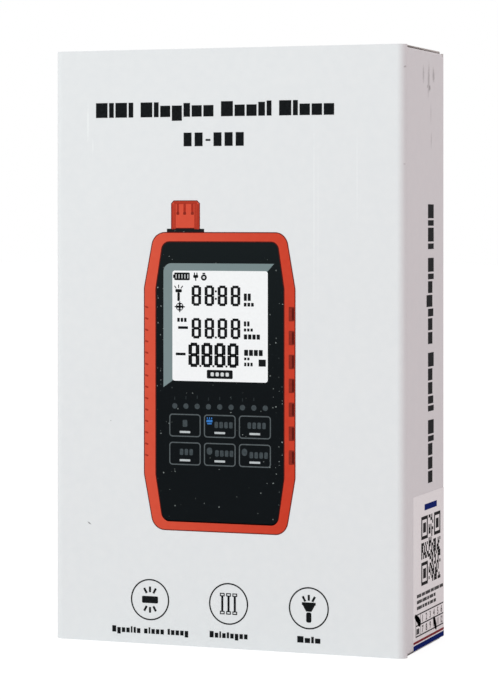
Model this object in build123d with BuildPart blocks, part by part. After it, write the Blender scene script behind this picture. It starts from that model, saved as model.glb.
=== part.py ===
from build123d import *
from math import cos, sin, sqrt
import os
import random

# A printed folding carton for a handheld instrument, closed and standing on its bottom end.
# It is a straight tuck end box: one folded, side-glued blank of white-lined board.
# Millimetres. +Z is up, the front panel faces -Y, the origin is the middle of the base.

# Carton
height = 180.0
width = 112.0
depth = 43.0
board = 0.6
fold_radius = 2.5

# Glued side seam, inside the back panel at the rear left fold
glue_flap_width = 14.0
glue_flap_shoulder = 1.0
glue_flap_drop = 4.0
glue_flap_bevel = 3.5

# Tuck flaps: a closing panel creased to the back panel, and a tongue behind the front panel
flap_side_play = 1.0
crease_play = 0.08
crease_end = 0.3
tongue_length = 15.0
tongue_play = 0.3
tongue_fold = 1.2
tongue_end_play = 0.3
tongue_taper = 3.0
tongue_corner = 8.0
lock_slit_length = 9.0
lock_slit_width = 0.8

# Dust flaps, folded in from the side walls under the closing panels
dust_flap_length = 28.0
dust_flap_play = 0.1
dust_fold = 0.9
dust_fold_relief = 0.3
dust_shoulder_step = 1.6
dust_front_taper = 3.0
dust_rear_taper = 6.0
dust_corner = 4.0

# Ink: plain fields, and line work that is a little thicker
field_ink = 0.04
line_ink = 0.06

# Type as rows of plain blocks: each kind's share of a mark's width, and of the capitals' height
# below and above the line
mark_kinds = {
    "O": (1.0, 0.0, 1.0),
    "o": (0.85, 0.0, 0.76),
    "p": (0.85, -0.26, 0.76),
    "t": (0.55, 0.0, 0.92),
    "l": (0.4, 0.0, 1.0),
    "-": (0.6, 0.38, 0.52),
    " ": (0.35, 0.0, 0.0),
}
title_left_margin = 13.7
title_right_margin = 21.8
title_drop = 20.5
title_cap = 4.5
title_gap = 0.55
title_rhythm = "OlOl Oloptoo Oootl Olooo"
second_drop = 29.4
second_cap = 4.1
second_gap = 1.0
second_length = 19.3
second_rhythm = "OO-OOO"
second_shift = -3.9

# Picture of a handheld instrument, fitted between the second line and the pictograms.
# Its own parts are shares of its width, or of its case's height where they stand one over another.
picture_gap_above = 16.3
picture_gap_below = 16.3
picture_aspect = 0.5
picture_shift = -1.9
knob_height_share = 0.097
knob_width_share = 0.19
knob_offset_share = -0.225
knob_chamfer_share = 0.018
collar_width_share = 0.245
collar_height_share = 0.01
case_end_share = 0.87
case_shoulder_share = 0.19
case_corner_share = 0.09
case_border_share = 0.082
case_end_border_share = 0.062
screen_width_share = 0.622
screen_height_share = 0.374
screen_middle_share = 0.682
screen_corner_share = 0.016
bezel_side_share = 0.059
bezel_top_share = 0.045
bezel_mitre_share = 0.041
bezel_corner_share = 0.051
key_width_share = 0.207
key_height_share = 0.078
key_column_share = 0.228
key_row_share = 0.0957
key_middle_share = 0.296
key_line = 0.35

# Round pictograms and their captions
icon_height = 13.4
icon_shift = 0.9
icon_radius = 6.25
icon_line = 0.4
icon_stroke = 0.65
icon_pitch = 25.4
ray_length = 1.7
ray_circle = 3.1
ray_spread = 58
lamp_bar = (5.2, 2.1)
lamp_bar_corner = 0.4
link_pitch = 2.0
link_height = 5.4
link_foot = (1.5, 1.0)
link_foot_line = 0.28
torch_rise = 1.3
torch_rim = (4.3, 0.8)
torch_head = (3.8, 1.9)
torch_head_angle = 119
torch_gap = 0.25
torch_handle = (1.6, 3.0)
torch_handle_corner = 0.5
caption_height = 3.1
caption_cap = 1.9
caption_gap = 0.4
caption_lengths = (24.8, 12.1, 7.2)
caption_rhythm = ("Opoolto olooo tooop", "Oolotopoo", "Oolo")

# Spine line on the right panel, read from the top down
spine_drop = 46.9
spine_above_label = 2.8
spine_setback = 27.0
spine_cap = 6.0
spine_gap = 0.6

# Label on the right panel, turned round the rear fold. Heights of its print are above its lower edge.
label_paper = 0.1
label_ink = 0.04
label_rise = 0.2
label_front_gap = 8.3
label_wrap = 6.0
label_head_margin = 3.2
code_size = 20.5
code_rear_gap = 3.5
code_rise = 18.4
code_cells = 21
code_seed = 11
code_ink_gap = 0.06
head_bar_inset = 11.7
head_bar_length = 13.1
head_bar_width = 1.8
head_bar_gap = 1.7
small_line_inset = 3.9
small_line_rise = 12.3
small_line_pitch = 1.75
small_line_cap = 0.9
small_line_shares = (0.62, 0.6, 0.86)
month_inset = 2.3
month_rear_gap = 0.3
month_rise = 3.9
month_row = 3.2
month_first_column = 5.2
month_columns = 6
month_line = 0.2
red_stripe_rise = 2.0
red_stripe_width = 0.7
blue_band_rise = 0.1
blue_band_width = 1.5

left, right = -width / 2, width / 2
front, rear = -depth / 2, depth / 2
middle = height / 2
front_panel = Plane.XZ.offset(-front)

# The closing panel turns about the bead of its crease, over the back panel's own middle
crease_y = rear - board / 2
crease_z = height - board / 2
tongue_radius = crease_y - front - board - tongue_play
tongue_angle = tongue_length / tongue_radius
crease_half_length = right - fold_radius - crease_end
dust_top = height - board - dust_flap_play
label_low = board + label_rise
head_bar_low = label_low + code_rise + code_size + head_bar_gap
label_top = head_bar_low + head_bar_width + label_head_margin


def outer_corner(radius, level):
    """The point at this level on the tongue's arc of this radius about the crease."""
    return (crease_y - sqrt(radius**2 - (level - crease_z) ** 2), level)


def tongue_tip(radius):
    """The lower end of the tongue's arc of this radius about the crease."""
    return (crease_y - radius * cos(tongue_angle), crease_z - radius * sin(tongue_angle))


# Folded blank: four walls, glue flap and dust flaps, drawn for the upper half and mirrored
with BuildPart() as carton_body:
    with BuildSketch(Plane.XY.offset(middle)):
        with BuildLine():
            FilletPolyline(
                (left + fold_radius, rear),
                (right, rear),
                (right, front),
                (left, front),
                (left, 0),
                radius=fold_radius,
            )
            offset(amount=board, side=Side.LEFT)
        make_face()
        with BuildLine():
            FilletPolyline(
                (left, 0),
                (left, rear - board),
                (left + glue_flap_width, rear - board),
                radius=fold_radius,
            )
            offset(amount=board, side=Side.RIGHT)
        make_face()
    extrude(amount=height - middle)
    # The glue flap's end is bevelled, so that it stays clear of the closing panel
    bevel_start = left + fold_radius + glue_flap_shoulder
    with BuildSketch(Plane.XZ.offset(board - rear)):
        with BuildLine():
            Polyline(
                (bevel_start, height),
                (bevel_start, height - glue_flap_drop),
                (left + glue_flap_width, height - glue_flap_drop - glue_flap_bevel),
                (left + glue_flap_width, height),
                close=True,
            )
        make_face()
    extrude(amount=board, mode=Mode.SUBTRACT)
    # The back panel stops under the crease, and the side panels stop at the dust flaps' folds
    back_top = height - board - crease_play
    with BuildSketch(Plane.XY.offset(back_top)):
        with Locations((0, rear)):
            Rectangle(width, 2 * (board + fold_radius))
    extrude(amount=height - back_top, mode=Mode.SUBTRACT)
    side_length = depth - 2 * fold_radius - board
    with BuildSketch(Plane.XY.offset(dust_top - dust_fold)):
        with Locations((0, front + fold_radius + side_length / 2)):
            Rectangle(width, side_length)
    extrude(amount=height - dust_top + dust_fold, mode=Mode.SUBTRACT)
    # Each dust flap: a fold, then a plate with a lock shoulder in front and a taper behind
    root_front = front + fold_radius + dust_fold_relief
    root_rear = rear - board - fold_radius - dust_fold_relief
    for side in (-1, 1):
        fold_x = side * (right - dust_fold)
        tip_x = side * (right - dust_flap_length)
        shoulder_x = side * (right - lock_slit_length)
        with BuildSketch(Plane.XZ.offset(-root_front)):
            with Locations((fold_x, dust_top - dust_fold)):
                Circle(dust_fold)
                Circle(dust_fold - board, mode=Mode.SUBTRACT)
            with Locations((fold_x - side * dust_fold / 2, dust_top - dust_fold)):
                Rectangle(dust_fold, 2 * dust_fold, mode=Mode.SUBTRACT)
            with Locations((fold_x, dust_top - 1.5 * dust_fold)):
                Rectangle(2 * dust_fold, dust_fold, mode=Mode.SUBTRACT)
        extrude(amount=root_front - root_rear)
        with BuildSketch(Plane.XY.offset(dust_top - board)) as dust_plate:
            with BuildLine():
                Polyline(
                    (fold_x, root_front),
                    (shoulder_x, root_front),
                    (shoulder_x - side * dust_shoulder_step, root_front + dust_shoulder_step),
                    (tip_x, root_front + dust_shoulder_step + dust_front_taper),
                    (tip_x, root_rear - dust_rear_taper),
                    (fold_x, root_rear),
                    close=True,
                )
            make_face()
            fillet(dust_plate.vertices().group_by(Axis.X)[0 if side > 0 else -1], dust_corner)
        extrude(amount=board)
    mirror(about=Plane.XY.offset(middle))

# Top tuck flap: closing panel, and a tongue curved about the crease so that it slides out
with BuildPart() as top_tuck_flap:
    inner_radius = tongue_radius - board
    fold_outside = outer_corner(tongue_radius, height)
    fold_inside = outer_corner(inner_radius, height - board)
    with BuildSketch(Plane.YZ) as flap_section:
        with BuildLine():
            Line((crease_y, height), fold_outside)
            ThreePointArc(
                fold_outside,
                (
                    crease_y - tongue_radius * cos(tongue_angle / 2),
                    crease_z - tongue_radius * sin(tongue_angle / 2),
                ),
                tongue_tip(tongue_radius),
            )
            Line(tongue_tip(tongue_radius), tongue_tip(inner_radius))
            ThreePointArc(
                tongue_tip(inner_radius),
                (
                    crease_y - inner_radius * cos(tongue_angle / 2),
                    crease_z - inner_radius * sin(tongue_angle / 2),
                ),
                fold_inside,
            )
            Line(fold_inside, (crease_y, height - board))
            ThreePointArc(
                (crease_y, height - board),
                (crease_y + board / 2, crease_z),
                (crease_y, height),
            )
        make_face()
        fillet(flap_section.vertices().sort_by_distance(Vector(*fold_outside))[0], tongue_fold)
        fillet(
            flap_section.vertices().sort_by_distance(Vector(*fold_inside))[0],
            tongue_fold - board,
        )
    extrude(amount=right - flap_side_play, both=True)
    # Panel outline: corners rounded in front, and cut back to the crease's length behind
    with BuildSketch(Plane.XY.offset(height)) as panel_waste:
        Rectangle(2 * width, 2 * depth)
        with BuildSketch(mode=Mode.SUBTRACT) as panel_outline:
            with BuildLine():
                Polyline(
                    (-crease_half_length, rear + board),
                    (-crease_half_length, crease_y),
                    (left + flap_side_play, crease_y - fold_radius),
                    (left + flap_side_play, crease_y - tongue_radius),
                    (right - flap_side_play, crease_y - tongue_radius),
                    (right - flap_side_play, crease_y - fold_radius),
                    (crease_half_length, crease_y),
                    (crease_half_length, rear + board),
                    close=True,
                )
            make_face()
            fillet(panel_outline.vertices().group_by(Axis.Y)[0], fold_radius)
    extrude(amount=-2 * board, mode=Mode.SUBTRACT)
    # Tongue outline: narrower than the panel, tapered, with rounded corners
    tongue_top = height - tongue_fold
    tongue_half = right - fold_radius - tongue_end_play
    with BuildSketch(Plane.XZ.offset(-front)) as tongue_waste:
        with Locations((0, tongue_top)):
            Rectangle(2 * width, 4 * tongue_length)
        with Locations((0, tongue_top + tongue_length)):
            Rectangle(2 * width, 2 * tongue_length, mode=Mode.SUBTRACT)
        with BuildSketch(mode=Mode.SUBTRACT) as tongue_outline:
            with BuildLine():
                Polyline(
                    (-tongue_half, tongue_top),
                    (tongue_half, tongue_top),
                    (tongue_half - tongue_taper, tongue_tip(tongue_radius)[1]),
                    (tongue_taper - tongue_half, tongue_tip(tongue_radius)[1]),
                    close=True,
                )
            make_face()
            fillet(tongue_outline.vertices().group_by(Axis.Y)[0], tongue_corner)
        # Slit locks, which catch the dust flaps' shoulders at both ends of the fold
        with Locations((-right, tongue_top), (right, tongue_top)):
            Rectangle(2 * lock_slit_length, 2 * lock_slit_width)
    extrude(amount=-depth / 2, mode=Mode.SUBTRACT)

# Bottom tuck flap: the same, mirrored at half height
with BuildPart() as bottom_tuck_flap:
    mirror(top_tuck_flap.part, about=Plane.XY.offset(middle))


def row_of_marks(rhythm, start, length, cap, gap, base):
    """A printed line as plain blocks of these kinds, spread to fill the line's length."""
    shares = [mark_kinds[kind][0] for kind in rhythm]
    unit = (length - gap * (len(rhythm) - 1)) / sum(shares)
    place = start
    for kind in rhythm:
        share, low, high = mark_kinds[kind]
        if high > low:
            with Locations((place + share * unit / 2, base + cap * (low + high) / 2)):
                Rectangle(share * unit, cap * (high - low))
        place += share * unit + gap


# Title, second line and captions
with BuildPart() as front_type:
    with BuildSketch(front_panel):
        row_of_marks(
            title_rhythm,
            left + title_left_margin,
            width - title_left_margin - title_right_margin,
            title_cap,
            title_gap,
            height - title_drop,
        )
        row_of_marks(
            second_rhythm,
            second_shift - second_length / 2,
            second_length,
            second_cap,
            second_gap,
            height - second_drop,
        )
    extrude(amount=line_ink)

with BuildPart() as captions:
    with BuildSketch(front_panel):
        for column, rhythm in enumerate(caption_rhythm):
            row_of_marks(
                rhythm,
                icon_shift + (column - 1) * icon_pitch - caption_lengths[column] / 2,
                caption_lengths[column],
                caption_cap,
                caption_gap,
                caption_height,
            )
    extrude(amount=line_ink)


def rays(first_angle):
    """Three short rays on a circle about the place, the first at this angle."""
    with PolarLocations(ray_circle, 3, first_angle, ray_spread, endpoint=True):
        Rectangle(ray_length, icon_stroke)


# Round pictograms: a lamp bar with rays, three links in a row, and a torch with rays
with BuildPart() as icons:
    with BuildSketch(front_panel):
        for column in (-1, 0, 1):
            with Locations((icon_shift + column * icon_pitch, icon_height)):
                Circle(icon_radius)
                Circle(icon_radius - icon_line, mode=Mode.SUBTRACT)
        with Locations((icon_shift - icon_pitch, icon_height)):
            RectangleRounded(*lamp_bar, lamp_bar_corner)
            rays(90 - ray_spread / 2)
            rays(270 - ray_spread / 2)
        with Locations((icon_shift, icon_height)):
            with GridLocations(link_pitch, 0, 3, 1):
                Rectangle(icon_stroke, link_height - link_foot[1])
            with GridLocations(link_pitch, link_height, 3, 2):
                Rectangle(*link_foot)
                Rectangle(
                    link_foot[0] - 2 * link_foot_line,
                    link_foot[1] - 2 * link_foot_line,
                    mode=Mode.SUBTRACT,
                )
        head_top = torch_rise - torch_rim[1] / 2
        handle_top = head_top - torch_head[1] - torch_gap
        with Locations((icon_shift + icon_pitch, icon_height)):
            rays(90 - ray_spread / 2)
            with Locations((0, torch_rise)):
                Rectangle(*torch_rim)
            with Locations((0, head_top - torch_head[1] / 2)):
                Trapezoid(*torch_head, torch_head_angle)
            with Locations((0, handle_top - torch_handle[1] / 2)):
                RectangleRounded(*torch_handle, torch_handle_corner)
    extrude(amount=line_ink)

# Picture of a handheld instrument, of a plain design: housing, face, screen and keys
picture_top = height - second_drop - picture_gap_above
picture_low = icon_height + icon_radius + picture_gap_below
picture_height = picture_top - picture_low
picture_width = picture_aspect * picture_height
knob_height = knob_height_share * picture_height
case_height = picture_height - knob_height
case_middle = (picture_shift, picture_low + case_height / 2)
collar_height = collar_height_share * picture_height
knob_x = picture_shift + knob_offset_share * picture_width
screen_middle = (picture_shift, picture_low + screen_middle_share * case_height)
screen_size = (screen_width_share * picture_width, screen_height_share * case_height)
screen_corner = screen_corner_share * picture_width
bezel_side = bezel_side_share * picture_width
bezel_top = bezel_top_share * picture_width
bezel_mitre = bezel_mitre_share * picture_width
case_border = case_border_share * picture_width
case_end_border = case_end_border_share * picture_width
key_middle = (picture_shift, picture_low + key_middle_share * case_height)
key_size = (key_width_share * picture_width, key_height_share * case_height)


def case_outline(border, end_border, mode=Mode.ADD):
    """The housing's outline, eight-sided with wide shoulders, drawn in by these borders."""
    half_width = picture_width / 2 - border
    half_end = case_end_share * picture_width / 2 - end_border
    half_height = case_height / 2 - end_border
    half_side = case_height * (0.5 - case_shoulder_share)
    quarter = [(half_end, half_height), (half_width, half_side)]
    right_side = quarter + [(x, -y) for x, y in reversed(quarter)]
    left_side = [(-x, -y) for x, y in right_side]
    with BuildSketch(mode=Mode.PRIVATE) as outline:
        with BuildLine():
            Polyline(*right_side, *left_side, close=True)
        make_face()
        fillet(outline.vertices(), case_corner_share * picture_width - border / 2)
    add(outline.sketch, mode=mode)


def lit_bezel(mode=Mode.ADD):
    """The bezel's two lit sides, left of the screen and over it, with mitred ends."""
    half_width, half_height = screen_size[0] / 2, screen_size[1] / 2
    outer_corner_place = (-half_width - bezel_side, half_height + bezel_top)
    with BuildSketch(mode=Mode.PRIVATE) as lit:
        with BuildLine():
            Polyline(
                (-half_width, -half_height),
                (-half_width - bezel_side, -half_height - bezel_mitre),
                outer_corner_place,
                (half_width + bezel_mitre, half_height + bezel_top),
                (half_width, half_height),
                close=True,
            )
        make_face()
        fillet(
            lit.vertices().sort_by_distance(Vector(*outer_corner_place))[0],
            bezel_corner_share * picture_width,
        )
        RectangleRounded(*screen_size, screen_corner, mode=Mode.SUBTRACT)
    add(lit.sketch, mode=mode)


with BuildPart() as picture_case:
    with BuildSketch(mode=Mode.PRIVATE) as knob:
        Rectangle(knob_width_share * picture_width, knob_height - collar_height)
        chamfer(knob.vertices().group_by(Axis.Y)[-1], knob_chamfer_share * picture_width)
    with BuildSketch(front_panel):
        with Locations(case_middle):
            case_outline(0, 0)
            case_outline(case_border, case_end_border, mode=Mode.SUBTRACT)
        with Locations((knob_x, picture_top - (knob_height - collar_height) / 2)):
            add(knob.sketch)
    extrude(amount=field_ink)

with BuildPart() as picture_face:
    with BuildSketch(front_panel):
        with Locations(case_middle):
            case_outline(case_border, case_end_border)
        with Locations(screen_middle):
            RectangleRounded(*screen_size, screen_corner, mode=Mode.SUBTRACT)
            lit_bezel(mode=Mode.SUBTRACT)
        with Locations((knob_x, picture_top - knob_height + collar_height / 2)):
            Rectangle(collar_width_share * picture_width, collar_height)
    extrude(amount=field_ink)

with BuildPart() as picture_bezel:
    with BuildSketch(front_panel):
        with Locations(screen_middle):
            lit_bezel()
    extrude(amount=field_ink)

with BuildPart() as picture_screen:
    with BuildSketch(front_panel):
        with Locations(screen_middle):
            RectangleRounded(*screen_size, screen_corner)
    extrude(amount=field_ink)

with BuildPart() as picture_keys:
    with BuildSketch(front_panel.offset(field_ink)):
        with Locations(key_middle):
            with GridLocations(
                key_column_share * picture_width,
                key_row_share * case_height,
                3,
                2,
            ):
                RectangleRounded(*key_size, 3 * key_line)
                RectangleRounded(
                    key_size[0] - 2 * key_line,
                    key_size[1] - 2 * key_line,
                    2 * key_line,
                    mode=Mode.SUBTRACT,
                )
    extrude(amount=line_ink - field_ink)

# Spine line on the right panel: the title's words again, turned a quarter turn
spine_panel = Plane(origin=(right, 0, 0), x_dir=(0, 0, -1), z_dir=(1, 0, 0))
with BuildPart() as spine_type:
    with BuildSketch(spine_panel):
        row_of_marks(
            title_rhythm,
            spine_drop - height,
            height - spine_drop - label_top - spine_above_label,
            spine_cap,
            spine_gap,
            front + spine_setback - spine_cap / 2,
        )
    extrude(amount=line_ink)


def wrapped_strip(gap, thickness, low, high):
    """A strip on the right panel that turns round the rear fold on to the back panel."""
    with BuildPart() as strip:
        with BuildSketch(Plane.XY.offset(low)):
            with BuildLine():
                FilletPolyline(
                    (right + gap, front + label_front_gap),
                    (right + gap, rear + gap),
                    (right - fold_radius - label_wrap, rear + gap),
                    radius=fold_radius + gap,
                )
                offset(amount=thickness, side=Side.RIGHT)
            make_face()
        extrude(amount=high - low)
    return strip


# Label, and the stripe and band across it
label = wrapped_strip(0, label_paper, label_low, label_top)
stripe_low = label_low + red_stripe_rise
label_red_stripe = wrapped_strip(label_paper, label_ink, stripe_low, stripe_low + red_stripe_width)
band_low = label_low + blue_band_rise
label_blue_band = wrapped_strip(label_paper, label_ink, band_low, band_low + blue_band_width)

# Matrix code of chance cells, with a square target in three corners
label_face = Plane.YZ.offset(right + label_paper)
cell = code_size / code_cells
target = 7
code_rear = rear - fold_radius - code_rear_gap
code_low = label_low + code_rise
chance = random.Random(code_seed)
runs = {}
for row in range(code_cells):
    column = 0
    while column < code_cells:
        length = chance.choice((1, 1, 2, 2, 3))
        at_side = column < target + 1 or column + length > code_cells - target - 1
        beside_low_target = row < target + 1 and column < target + 1
        beside_high_target = row > code_cells - target - 2 and at_side
        clear = not beside_low_target and not beside_high_target
        if clear and column + length <= code_cells:
            centre = (code_rear - code_size + (column + length / 2) * cell, row)
            runs.setdefault(length, []).append(centre)
        column += length + chance.choice((1, 1, 2))

with BuildPart() as label_code:
    with BuildSketch(label_face):
        for length, places in runs.items():
            with Locations([(y, code_low + (row + 0.5) * cell) for y, row in places]):
                Rectangle(length * cell, cell - code_ink_gap)
        half_target = target * cell / 2
        near = code_rear - code_size + half_target
        far = code_rear - half_target
        low_row = code_low + half_target
        high_row = code_low + code_size - half_target
        with Locations((near, low_row), (near, high_row), (far, high_row)):
            Rectangle(target * cell, target * cell)
            Rectangle((target - 2) * cell, (target - 2) * cell, mode=Mode.SUBTRACT)
            Rectangle((target - 4) * cell, (target - 4) * cell)
    extrude(amount=label_ink)

# Small lines and the grid of months
with BuildPart() as label_lines:
    label_front = front + label_front_gap
    label_flat = rear - fold_radius - label_front
    with BuildSketch(label_face):
        for place, share in enumerate(small_line_shares):
            length = share * label_flat
            low = label_low + small_line_rise + place * small_line_pitch
            with Locations((label_front + small_line_inset + length / 2, low)):
                Rectangle(length, small_line_cap)
        grid_front = label_front + month_inset
        grid_rear = rear - fold_radius - month_rear_gap
        grid_length = grid_rear - grid_front
        column_width = (grid_length - month_first_column) / month_columns
        grid_low = label_low + month_rise
        for row in range(3):
            with Locations(((grid_front + grid_rear) / 2, grid_low + row * month_row)):
                Rectangle(grid_length, month_line)
        columns = [grid_front + month_line / 2]
        for column in range(month_columns):
            columns.append(grid_front + month_first_column + column * column_width)
        with Locations([(y, grid_low + month_row) for y in columns]):
            Rectangle(month_line, 2 * month_row)
    extrude(amount=label_ink)

# A plain bar at the label's head
with BuildPart() as label_head_bar:
    with BuildSketch(label_face):
        with Locations(
            (
                label_front + head_bar_inset + head_bar_length / 2,
                head_bar_low + head_bar_width / 2,
            )
        ):
            Rectangle(head_bar_length, head_bar_width)
    extrude(amount=label_ink)

named_pieces = {
    "carton_body": carton_body,
    "top_tuck_flap": top_tuck_flap,
    "bottom_tuck_flap": bottom_tuck_flap,
    "front_type": front_type,
    "captions": captions,
    "icons": icons,
    "picture_case": picture_case,
    "picture_face": picture_face,
    "picture_bezel": picture_bezel,
    "picture_screen": picture_screen,
    "picture_keys": picture_keys,
    "spine_type": spine_type,
    "label": label,
    "label_red_stripe": label_red_stripe,
    "label_blue_band": label_blue_band,
    "label_code": label_code,
    "label_lines": label_lines,
    "label_head_bar": label_head_bar,
}
os.makedirs("parts", exist_ok=True)
for name, piece in named_pieces.items():
    piece.part.label = name
    export_step(piece.part, f"parts/{name}.step")
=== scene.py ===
import math
import random

import bmesh
import bpy
from mathutils import Matrix, Vector


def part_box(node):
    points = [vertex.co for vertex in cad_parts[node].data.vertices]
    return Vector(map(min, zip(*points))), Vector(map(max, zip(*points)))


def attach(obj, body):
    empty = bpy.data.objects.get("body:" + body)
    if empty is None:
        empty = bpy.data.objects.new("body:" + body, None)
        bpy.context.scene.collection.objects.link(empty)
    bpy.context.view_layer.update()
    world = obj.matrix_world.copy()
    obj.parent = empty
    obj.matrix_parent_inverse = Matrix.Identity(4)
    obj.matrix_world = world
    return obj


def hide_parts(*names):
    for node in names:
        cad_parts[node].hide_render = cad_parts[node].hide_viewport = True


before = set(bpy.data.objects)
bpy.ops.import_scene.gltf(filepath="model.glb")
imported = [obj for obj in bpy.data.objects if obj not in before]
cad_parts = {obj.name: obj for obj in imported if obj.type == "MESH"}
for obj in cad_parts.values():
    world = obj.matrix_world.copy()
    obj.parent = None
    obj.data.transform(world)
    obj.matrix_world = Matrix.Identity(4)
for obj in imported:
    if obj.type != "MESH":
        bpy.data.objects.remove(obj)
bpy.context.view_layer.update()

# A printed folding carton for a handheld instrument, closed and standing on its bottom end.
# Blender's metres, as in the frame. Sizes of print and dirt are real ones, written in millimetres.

MM = 0.001


# Carton board. The real piece is white-lined folding box board, about 0.6 mm thick: a grey pulp core,
# a clay-coated white face with a matt varnish outside, and a plain liner inside. It is die-cut and
# creased flat, glued down one side seam, and folded up by hand.
_, walls_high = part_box("carton_body")
carton_height = walls_high.z
half_width = walls_high.x
half_depth = walls_high.y
BOARD = 0.6 * MM
# A face with board behind it, within this reach, is a side of the board, and any other is a cut edge
BOARD_REACH = 1.5 * BOARD
JUST_INSIDE = BOARD / 60
SAME_CORNER = 0.001 * MM
SHARP_TURN = math.radians(40)
# Colours in pairs: where a coat or an ink is full and where it is thin, or the pale and the dark pulp
COATED = ("#E7E8EA", "#E1E3E6")
LINER = ("#CFCCC6", "#B9B5AD")
CUT_CORE = ("#E6E4E1", "#CFCCC7")
VARNISH_ROUGHNESS = 0.5
VARNISH_SPECULAR = 0.35
CLOUDS = 2.6 * MM
GRAIN = 0.22 * MM
GRAIN_DEPTH = 0.03 * MM
WAVES = 62 * MM
WAVE_DEPTH = 0.9 * MM
PULP_ROUGHNESS = 0.9
PULP_SPECULAR = 0.2
PULP_IOR = 1.45
FIBRES = 1.4 * MM
FIBRE_STRETCH = (1.0, 1.0, 0.35)
FIBRE_DEPTH = 0.05 * MM
FLECKS = 1.8 * MM
FLECK_EDGE = 0.16
FLECK_CORE = 0.08
FLECK_STRENGTH = 0.5
# Marks on the coated face: the middle, length and height in mm, the turn in degrees, the strength
FRONT_SPECKS = (
    ((-44.5, 35.8), (1.6, 0.5), 35, 0.85),
    ((-37.4, 67.3), (0.45, 0.45), 0, 0.6),
)
SIDE_SMUDGES = (
    ((-2.4, 172.0), (2.4, 7.0), 0, 0.34),
    ((3.2, 170.6), (2.8, 13.0), -3, 0.42),
    ((8.4, 172.2), (3.0, 5.5), 4, 0.5),
    ((4.4, 168.2), (1.7, 2.6), 0, 0.8),
    ((1.9, 168.6), (0.9, 1.4), 0, 0.5),
    ((5.6, 160.5), (1.3, 8.0), 0, 0.25),
    ((6.0, 152.5), (1.4, 6.0), -2, 0.3),
    ((-20.4, 173.3), (1.9, 0.9), 20, 0.5),
    ((-20.6, 144.8), (1.4, 0.6), 0, 0.4),
)
# Thin pale lines on the coated front, of unknown cause, given in the same way
FRONT_PALE_LINES = (
    ((-45.0, 158.0), (0.9, 14.0), 0, 0.5),
    ((-43.4, 151.0), (0.6, 6.0), 0, 0.4),
    ((27.9, 131.0), (0.6, 74.0), 0, 0.35),
    ((29.2, 128.0), (0.45, 66.0), 0, 0.25),
    ((41.3, 142.0), (0.6, 34.0), 0, 0.3),
)
PALE_LINE = "#F3F5F6"
SPECK = "#3A393C"
SMUDGE = "#6F686A"
MARK_DEPTH = 1.0 * MM
# How coarse and how strong a mark's ragged edge is, and where the mark starts and is full
RAGS = 0.7 * MM
RAG_STRENGTH = 0.9
MARK_START = 1.5
MARK_FULL = 0.7


def linear(hex_colour):
    """An sRGB hex colour as the linear RGBA that a socket takes."""
    parts = [int(hex_colour[place:place + 2], 16) / 255 for place in (1, 3, 5)]
    return tuple(c / 12.92 if c <= 0.04045 else ((c + 0.055) / 1.055) ** 2.4 for c in parts) + (1,)


def add(tree, kind, links=(), **settings):
    """Adds a node with its settings; links is (input, output socket or value) pairs."""
    made = tree.nodes.new(kind)
    for name, value in settings.items():
        setattr(made, name, value)
    for socket, source in links:
        if isinstance(source, bpy.types.NodeSocket):
            tree.links.new(source, made.inputs[socket])
        else:
            made.inputs[socket].default_value = source
    return made


def new_finish(name, roughness, specular, ior=1.5):
    """A material with one Principled shader: the material, its tree, the shader and the place."""
    material = bpy.data.materials.new(name)
    material.use_nodes = True
    tree = material.node_tree
    tree.nodes.clear()
    shader = add(tree, "ShaderNodeBsdfPrincipled",
                 [("Roughness", roughness), ("IOR", ior), ("Specular IOR Level", specular)])
    add(tree, "ShaderNodeOutputMaterial", [("Surface", shader.outputs[0])])
    place = add(tree, "ShaderNodeTexCoord").outputs["Object"]
    return material, tree, shader, place


def mixed(tree, amount, first, second):
    """The colour between two colours or colour sockets by this amount."""
    mix = add(tree, "ShaderNodeMix", [(0, amount), (6, first), (7, second)], data_type="RGBA")
    return mix.outputs[2]


def smudge(tree, place, centre, turn, reach, strength):
    """How strong a soft, ragged mark is at each place."""
    local = add(tree, "ShaderNodeMapping",
                [("Vector", place), ("Location", centre), ("Rotation", turn), ("Scale", reach)],
                vector_type="TEXTURE")
    ragged = add(tree, "ShaderNodeTexNoise", [("Vector", place), ("Scale", 1 / RAGS)])
    length = add(tree, "ShaderNodeVectorMath", [(0, local.outputs[0])], operation="LENGTH")
    edge = add(tree, "ShaderNodeMath",
               [(0, ragged.outputs[0]), (1, RAG_STRENGTH), (2, length.outputs["Value"])],
               operation="MULTIPLY_ADD")
    spot = add(tree, "ShaderNodeMapRange",
               [("Value", edge.outputs[0]), ("From Min", MARK_START), ("From Max", MARK_FULL),
                ("To Min", 0.0), ("To Max", strength)], interpolation_type="SMOOTHSTEP")
    return spot.outputs[0]


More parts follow.
